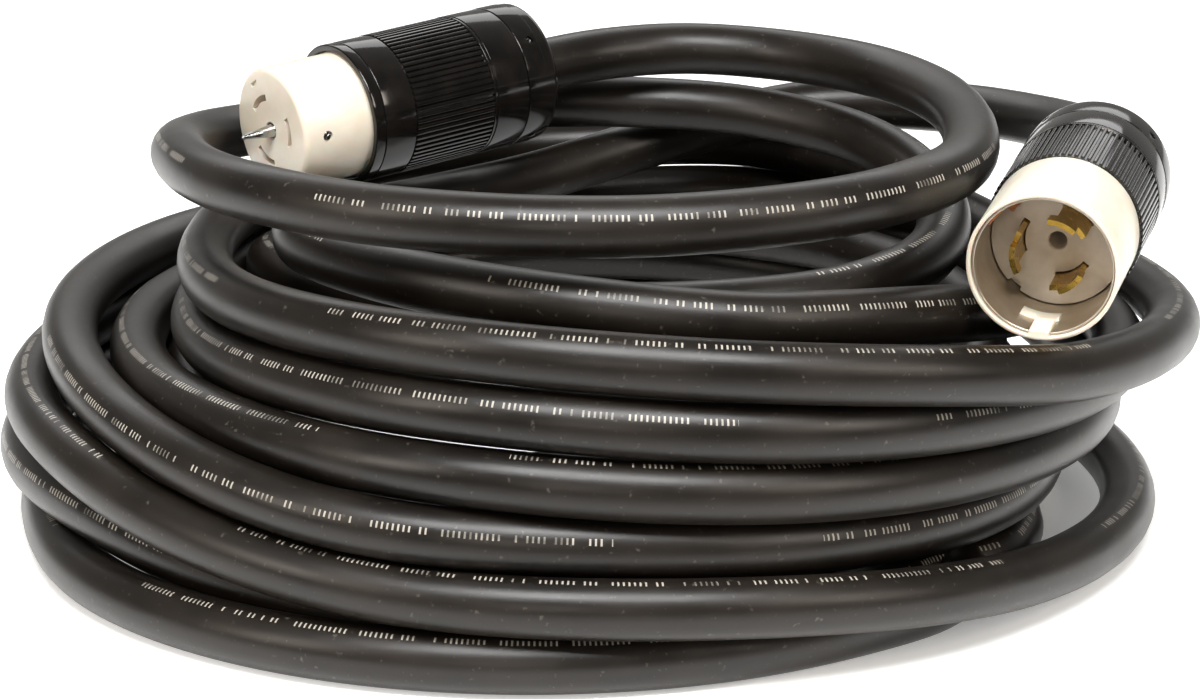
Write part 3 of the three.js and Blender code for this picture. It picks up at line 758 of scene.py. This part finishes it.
def grow(tree, name, base, **inputs):
    """Runs a node tree on a mesh and gives the result as one plain mesh."""
    work = link(name + "_work", base)
    modifier = work.modifiers.new("nodes", "NODES")
    modifier.node_group = tree
    for item in tree.interface.items_tree:
        if item.name in inputs:
            modifier[item.identifier] = inputs[item.name]
    graph = bpy.context.evaluated_depsgraph_get()
    mesh = bpy.data.meshes.new_from_object(work.evaluated_get(graph))
    mesh.name = name
    bpy.data.objects.remove(work)
    return mesh


RIB_TREE = rib_tree()

# ---- Rear end, alike on both fittings ----


def clamp_nut(name, fitting, body):
    """Cap nut: a rounded rear edge, a small step, and four blind spanner holes."""
    edge_start = 6.2
    profile = [
        (NUT_HOLE, 0, 0.8), (NUT_RADIUS - 0.35, 0, 5.6), (NUT_RADIUS - 0.35, edge_start, 0.1),
        (NUT_RADIUS, edge_start + 0.3, 0.15), (NUT_RADIUS, NUT_LENGTH, 0.35),
        (THREAD_BORE, NUT_LENGTH, 0.5), (THREAD_BORE, NUT_WALL, 0.3), (NUT_HOLE, NUT_WALL, 0.8),
    ]
    hole_station, hole_radius, hole_depth = 9.6, 1.6, 1.8
    floor_radius, past_surface = NUT_RADIUS - hole_depth, NUT_RADIUS + 2
    holes = [radial_bar("hole", hole_radius, floor_radius, past_surface, 40 + 90 * k, hole_station)
             for k in range(4)]
    mesh = shaped(name, turned_mesh(name, profile), cut=holes, bevel=0.15)
    return place_piece(name, mesh, fitting, body, "black_nylon")


def threaded(mesh, low, high, pitch, depth):
    """Sinks a helical thread into the outer wall between two stations."""
    for vertex in mesh.vertices:
        x, y, z = vertex.co
        radius = math.hypot(x, y)
        if not (low <= z <= high and radius > THREAD_BORE - 1.5):
            continue
        phase = (z / pitch - math.atan2(y, x) / (2 * math.pi)) % 1.0
        groove = max(0.0, 1 - abs(phase - 0.5) * 3.2)
        fade = min(1.0, (z - low) / 0.8, (high - z) / 0.8)
        shrink = 1 - depth * groove * fade / radius
        vertex.co = (x * shrink, y * shrink, z)
    return mesh


def sleeve(name, fitting, with_front_band):
    """Housing: threaded spigot, plain band with a bead, ribbed grip and, on the connector,
    a plain front band."""
    crest, root, band = 29.2, 28.3, 29.4
    spigot = THREAD_BORE - 0.3
    thread_rows = [(spigot, 8.6 + 0.28 * k, 0) for k in range(26)]
    if with_front_band:
        front = [(root, RIB_END + 0.5, 0), (29.0, RIB_END + 0.5, 0.2), (29.0, SLEEVE_FRONT, 0.35),
                 (SEAT_RADIUS, SLEEVE_FRONT, 0.2)]
    else:
        front = [(root, RIB_END, 0.3), (SEAT_RADIUS, RIB_END, 0.2)]
    profile = [
        (17.2, SPIGOT_START, 0.3), (spigot, SPIGOT_START, 0.25), *thread_rows, (spigot, BAND_START, 0),
        (band, BAND_START, 0.35), (band, 31.6, 0.15), (band - 0.45, 31.8, 0), (band - 0.45, 32.2, 0),
        (band, 32.4, 0.15), (band, 33.3, 0.2), (root, 33.6, 0), *front,
        (SEAT_RADIUS, CHAMBER_END, 0), (CHAMBER_RADIUS, CHAMBER_END, 0),
        (CHAMBER_RADIUS, CHAMBER_START, 0), (13.8, CHAMBER_START, 0.2),
    ]
    thread_start, thread_end, pitch, thread_depth = 8.8, 15.8, 2.0, 0.9
    base = threaded(turned_mesh(name, profile), thread_start, thread_end, pitch, thread_depth)
    rib_width, rib_edge, rib_count = 1.5, 0.36, 74
    rib_depth = 2 * (crest - root) + 0.4
    mesh = grow(RIB_TREE, name, base, Count=rib_count, Radius=crest - rib_depth / 2, Start=RIB_START - 0.3,
                End=RIB_END - 0.1, Width=rib_width, Depth=rib_depth, Edge=rib_edge,
                Finish=FINISHES["black_nylon"])
    return place_piece(name, mesh, fitting, "cord", "black_nylon")


def turned_piece(name, fitting, finish, profile, body="cord", sides=SIDES):
    """A piece that is only a turned shape."""
    return place_piece(name, turned_mesh(name, profile, sides), fitting, body, finish)


# ---- Connector ----


def contact_carrier():
    """White nose: arc slots over the contact pockets, a rim slot and a side screw hole."""
    nose, seat = 25.5, CARRIER_SEAT
    profile = [
        (0, CARRIER_REAR, 0), (seat, CARRIER_REAR, 0.3), (seat, NOSE_START - 1.5, 0.3),
        (nose, NOSE_START - 0.5, 0.3), (nose, CONNECTOR_FACE, 2.2), (0, CONNECTOR_FACE, 0),
    ]
    cuts = []
    for angle in CONNECTOR_POLES.values():
        cuts.append(arc_plate("slot", 12.2, 14.8, angle - 26, angle + 26, 110, CONNECTOR_FACE + 1))
        start, end = angle - POCKET_HALF_ANGLE, angle + POCKET_HALF_ANGLE
        cuts.append(arc_plate("pocket", POCKET_INNER, POCKET_OUTER, start, end, CUT_START, 115))
    strap, outer, rear = GROUND_STRAP_INNER, GROUND_OUTER, CUT_START
    cuts.append(arc_plate("foot", GROUND_FOOT_INNER, outer, -61.2, -38.8, rear, GROUND_END))
    cuts.append(arc_plate("bridge", strap, outer, -61.2, 5.2, rear, GROUND_END))
    cuts.append(arc_plate("strap", strap, outer, -5.2, 5.2, rear, 118))
    bore = [(0, rear, 0), (2.8, rear, 0), (2.8, 122.2, 0), (3.7, 122.2, 0), (3.7, 125, 0), (0, 125, 0)]
    cuts.append(turned_mesh("bore", bore, 48))
    cuts.append(radial_bar("screw_hole", 2.2, 21, 27, 0, CONNECTOR_FACE - SIDE_SCREW_SETBACK, 40))
    cuts.append(box_mesh("rim_slot", (1.6, 4.8, 2.4), (20.6, 0, CONNECTOR_FACE), 120))
    mesh = shaped("connector_contact_carrier", turned_mesh("carrier", profile), cut=cuts, bevel=0.18)
    place_piece("connector_contact_carrier", mesh, CONNECTOR, "cord", "white_nylon")


def pilot_pin():
    """Polished tapered pin in a small collar."""
    face = CONNECTOR_FACE
    turned_piece("connector_pilot_pin", CONNECTOR, "plated_steel", [
        (0, face - 26, 0), (2.5, face - 26, 0.3), (2.5, face - 1.1, 0), (3.4, face - 1.1, 0.1),
        (3.4, face - 0.1, 0.3), (2.7, face - 0.1, 0.1), (2.6, face + 0.5, 0.4), (0.75, face + 13.6, 0.5),
        (0.3, face + 14, 0.1), (0, face + 14, 0)], sides=48)


def ground_screw():
    """Slotted screw in the side of the nose."""
    outer, inner, radius = 25.2, 21.8, 1.85
    head = [(0, inner, 0), (radius, inner, 0.1), (radius, outer - 0.2, 0.3), (0, outer, 0)]
    slot = box_mesh("slot", (5, 0.5, 1.0), (0, 0, outer))
    mesh = shaped("connector_ground_screw", turned_mesh("screw", head, 40), cut=[slot], bevel=0.06)
    station = Matrix.Translation((0, 0, CONNECTOR_FACE - SIDE_SCREW_SETBACK))
    outward = Matrix.Rotation(math.radians(90), 4, "Y")
    slot_turn = Matrix.Rotation(math.radians(35), 4, "Z")
    moved(mesh, station @ outward @ slot_turn)
    place_piece("connector_ground_screw", mesh, CONNECTOR, "cord", "plated_steel")


def front_ring():
    """Black ring between the sleeve and the nose."""
    turned_piece("connector_front_ring", CONNECTOR, "black_nylon", [
        (SEAT_RADIUS, SLEEVE_FRONT + 0.3, 0.1), (29.0, SLEEVE_FRONT + 0.3, 0.35),
        (29.0, NOSE_START, 0.6), (SEAT_RADIUS, NOSE_START, 0.5)])


def build_connector():
    clamp_nut("connector_clamp_nut", CONNECTOR, "connector_nut")
    sleeve("connector_sleeve", CONNECTOR, True)
    front_ring()
    contact_carrier()
    pilot_pin()
    ground_screw()


# ---- Plug ----

SHELL_INNER = 25.2
SHROUD_BORE = 26.4
SHROUD_LEDGE = 76.0
DISC_REAR = 76.3
KEY_ANGLE = -92


def key_cut(name, inner, outer, gap=0.0):
    """Stem and crossbar of the T-shaped key, grown by a gap for the window round it."""
    half = math.degrees(3.8 / SHROUD_BORE)
    turn = math.degrees(gap / SHROUD_BORE)
    stem_end, bar_end, top = PLUG_RIM - 14, PLUG_RIM - 21, PLUG_RIM + (1 if gap else -0.05)
    stem = arc_plate(name, inner, outer, KEY_ANGLE - half - turn, KEY_ANGLE + half + turn, stem_end - 1, top)
    bar = arc_plate(name, inner, outer, -114 - turn, -81 + turn, bar_end - gap, stem_end + gap)
    return [stem, bar]


def shroud():
    """Open white tube with a moulded T key on its inner wall."""
    profile = [
        (23.0, CARRIER_REAR, 0.3), (CARRIER_SEAT, CARRIER_REAR, 0.3), (CARRIER_SEAT, RIB_END + 0.3, 0),
        (28.0, RIB_END + 0.3, 0.3), (28.0, PLUG_RIM, 0.75), (SHROUD_BORE, PLUG_RIM, 0.5),
        (SHROUD_BORE, SHROUD_LEDGE, 0), (23.0, SHROUD_LEDGE, 0),
    ]
    key = key_cut("key", 24.6, 27.2)
    mesh = shaped("plug_shroud", turned_mesh("shroud", profile, 128), added=key, bevel=0.2)
    place_piece("plug_shroud", mesh, PLUG, "cord", "white_nylon")


def ground_shell():
    """Thin plated liner, cut away round the key, with its front edge rolled smooth."""
    outer, top = SHROUD_BORE - 0.3, PLUG_RIM - 1.5
    profile = [
        (SHELL_INNER, DISC_REAR, 0.1), (outer, DISC_REAR, 0.1), (outer, top, 0.3), (SHELL_INNER, top, 0.4),
    ]
    window = key_cut("window", 23.5, 28.0, 0.3)
    mesh = shaped("plug_ground_shell", turned_mesh("shell", profile, 128), cut=window, bevel=0.12)
    place_piece("plug_ground_shell", mesh, PLUG, "cord", "shell_steel")


def insulator():
    """Disc that carries the blades, with a pilot hole and a half-round notch in its edge."""
    disc = SHELL_INNER - 0.3
    profile = [
        (0, CARRIER_REAR, 0), (22.7, CARRIER_REAR, 0.3), (22.7, DISC_REAR, 0), (disc, DISC_REAR, 0.2),
        (disc, INSULATOR_FACE, 0.5), (0, INSULATOR_FACE, 0),
    ]
    cuts = []
    for angle in PLUG_POLES.values():
        start, end = angle - POCKET_HALF_ANGLE, angle + POCKET_HALF_ANGLE
        cuts.append(arc_plate("pocket", POCKET_INNER, POCKET_OUTER, start, end, CUT_START, 57.4))
        cuts.append(arc_plate("slot", 12.1, 14.9, angle - 28, angle + 28, 50, INSULATOR_FACE + 1))
    rear, front = CUT_START, INSULATOR_FACE + 1
    cuts.append(arc_plate("foot", GROUND_FOOT_INNER, GROUND_OUTER, 116.8, 139.2, rear, GROUND_END))
    cuts.append(arc_plate("strap", GROUND_STRAP_INNER, GROUND_OUTER, 116.8, 139.2, rear, front))
    hole = [(0, rear, 0), (3.35, rear, 0), (3.35, INSULATOR_FACE - 0.6, 0), (3.9, INSULATOR_FACE + 0.1, 0),
            (3.9, INSULATOR_FACE + 1, 0), (0, INSULATOR_FACE + 1, 0)]
    cuts.append(turned_mesh("pilot", hole, 48))
    notch_angle = math.radians(-131)
    notch = turned_mesh("notch", [(0, 82, 0), (3.0, 82, 0), (3.0, 88, 0), (0, 88, 0)], 40)
    edge_point = (disc * math.cos(notch_angle), disc * math.sin(notch_angle), 0)
    cuts.append(moved(notch, Matrix.Translation(edge_point)))
    mesh = shaped("plug_insulator", turned_mesh("insulator", profile), cut=cuts, bevel=0.15)
    place_piece("plug_insulator", mesh, PLUG, "cord", "grey_nylon")


def blade(pole, angle):
    """Stamped locking blade: a curved plate on a base block, with a hook at its tip."""
    inner, outer, tip = BLADE_RING - 1.0, BLADE_RING + 1.0, INSULATOR_FACE + 20
    base = arc_plate("base", 10.8, 16.2, angle - 26, angle + 26, 50, 57)
    plate = arc_plate("plate", inner, outer, angle - 26, angle + 26, 56, tip - 5.5)
    neck = arc_plate("neck", inner, outer, angle - 8, angle + 26, tip - 6.5, tip)
    hook = arc_plate("hook", inner, outer, angle + 24, angle + 37, tip - 6, tip)
    mesh = shaped(f"plug_blade_{pole}", base, added=[plate, neck, hook], bevel=0.35)
    place_piece(f"plug_blade_{pole}", mesh, PLUG, "cord", "brass")


def ground_spring():
    """Bronze strip that reaches from the ground terminal to the shell, with pressed bumps."""
    foot = arc_plate("foot", 16, 21.5, 118, 138, 50, 57)
    strap = arc_plate("strap", 19.5, 21.5, 118, 138, 50, 87)
    bridge = arc_plate("bridge", 19.5, 24.9, 118, 148, 86.3, 87.3)
    spring = arc_plate("spring", 24.2, 24.9, 132, 148, 86.3, 112)
    bumps = []
    for station in (97, 101, 105, 109):
        bumps.append(arc_plate("bump", 23.7, 24.5, 133, 147, station - 0.9, station + 0.9))
    mesh = shaped("plug_ground_spring", foot, added=[strap, bridge, spring] + bumps, bevel=0.2)
    place_piece("plug_ground_spring", mesh, PLUG, "cord", "bronze")


def build_plug():
    clamp_nut("plug_clamp_nut", PLUG, "plug_nut")
    sleeve("plug_sleeve", PLUG, False)
    shroud()
    ground_shell()
    insulator()
    for pole, angle in PLUG_POLES.items():
        blade(pole, angle)
    ground_spring()


build_connector()
build_plug()


def finish_kept_nodes():
    """Inner pieces keep their CAD shape and take their slot's finish."""
    finish_of = {row["node"]: row["material_slot"] for row in frame["record"]["subparts"]}
    for name, node in frame["nodes"].items():
        node.data.materials.clear()
        node.data.materials.append(FINISHES[finish_of[name]])


finish_kept_nodes()

# ---- Floor and light ----


def add_floor():
    """A white floor with a painted glow behind the coil and round it, a painted shadow where the glow fades
    out under the coil, and a grey apron on the near side.
    """
    work = bmesh.new()
    bmesh.ops.create_grid(work, x_segments=1, y_segments=1, size=6.0)
    mesh = bpy.data.meshes.new("floor")
    work.to_mesh(mesh)
    work.free()
    floor = link("floor", mesh)
    material, tree, shader = new_material("floor_white", Roughness=0.8, Specular_IOR_Level=0.1)
    place = add(tree, "ShaderNodeTexCoord").outputs["Object"]
    axes = add(tree, "ShaderNodeSeparateXYZ", {"Vector": place})
    back = add(tree, "ShaderNodeMapRange", {"Value": axes.outputs["Y"], "From Min": -0.5, "From Max": -0.27})
    paper = add(tree, "ShaderNodeMix", {
        "Factor": back.outputs["Result"], "A": rgb("#8a8885"), "B": rgb("#f6f6f5")}, data_type="RGBA")
    # Painted glow: the floor's own colour is emitted as light, fading to none on the near side.
    painted_glow_by_side = add(tree, "ShaderNodeMapRange", {
        "Value": back.outputs["Result"], "To Min": 0.0, "To Max": 0.7})
    # Painted shadow under the coil: the glow fades out from 0.26 m to 0.16 m from the middle.
    from_middle = add(tree, "ShaderNodeVectorMath", {0: place}, operation="LENGTH").outputs["Value"]
    outside_painted_coil_shadow = add(tree, "ShaderNodeMapRange", {
        "Value": from_middle, "From Min": 0.16, "From Max": 0.26, "To Min": 0.0, "To Max": 1.0})
    # The painted glow, with the painted shadow under the coil taken out of it.
    glow = add(tree, "ShaderNodeMath", {
        0: painted_glow_by_side.outputs["Result"], 1: outside_painted_coil_shadow.outputs["Result"]}, operation="MULTIPLY")
    tree.links.new(paper.outputs["Result"], shader.inputs["Base Color"])
    tree.links.new(paper.outputs["Result"], shader.inputs["Emission Color"])
    tree.links.new(glow.outputs["Value"], shader.inputs["Emission Strength"])
    mesh.materials.append(material)


def add_light(name, place, target, size, power, tint="#ffffff"):
    """A soft box of a size in metres, at a place, facing a target."""
    data = bpy.data.lights.new(name, "AREA")
    data.shape = "RECTANGLE"
    data.size, data.size_y = size
    data.energy = power
    data.color = rgb(tint)[:3]
    light = bpy.data.objects.new(name, data)
    light.location = place
    light.rotation_euler = (Vector(target) - Vector(place)).to_track_quat("-Z", "Y").to_euler()
    bpy.context.scene.collection.objects.link(light)


def studio_world():
    """A room that is lighter behind the object and gives little light on the near side."""
    world = bpy.data.worlds.new("studio")
    bpy.context.scene.world = world
    world.use_nodes = True
    tree = world.node_tree
    background = tree.nodes["Background"]
    way = add(tree, "ShaderNodeTexCoord").outputs["Generated"]
    axes = add(tree, "ShaderNodeSeparateXYZ", {"Vector": way})
    wall = add(tree, "ShaderNodeMapRange", {
        "Value": axes.outputs["Y"], "From Min": -0.15, "From Max": 0.6, "To Min": 0.08, "To Max": 0.35})
    tree.links.new(wall.outputs["Result"], background.inputs["Strength"])
    background.inputs["Color"].default_value = rgb("#fbf8f3")


def add_lighting():
    """One soft box over the front, small warm ones on the near side, and one on the back floor."""
    studio_world()
    middle, warm = (0, 0, 0.1), "#fff3e6"
    add_light("overhead", (0, -0.75, 1.2), middle, (1.1, 0.4), 30)
    add_light("near_left", (-1.25, -0.95, 0.8), middle, (0.4, 0.6), 8, warm)
    add_light("near_right", (1.2, -0.9, 0.9), middle, (0.4, 0.6), 8, warm)
    add_light("mouth_fill", (-0.25, -1.75, 0.55), middle, (0.3, 0.2), 2.8, warm)
    add_light("back_floor", (0, 2.2, 1.6), (0, 2.1, 0), (3.4, 1.6), 36)
    view = bpy.context.scene.view_settings
    view.view_transform = "Standard"
    view.look = "None"


add_floor()
add_lighting()
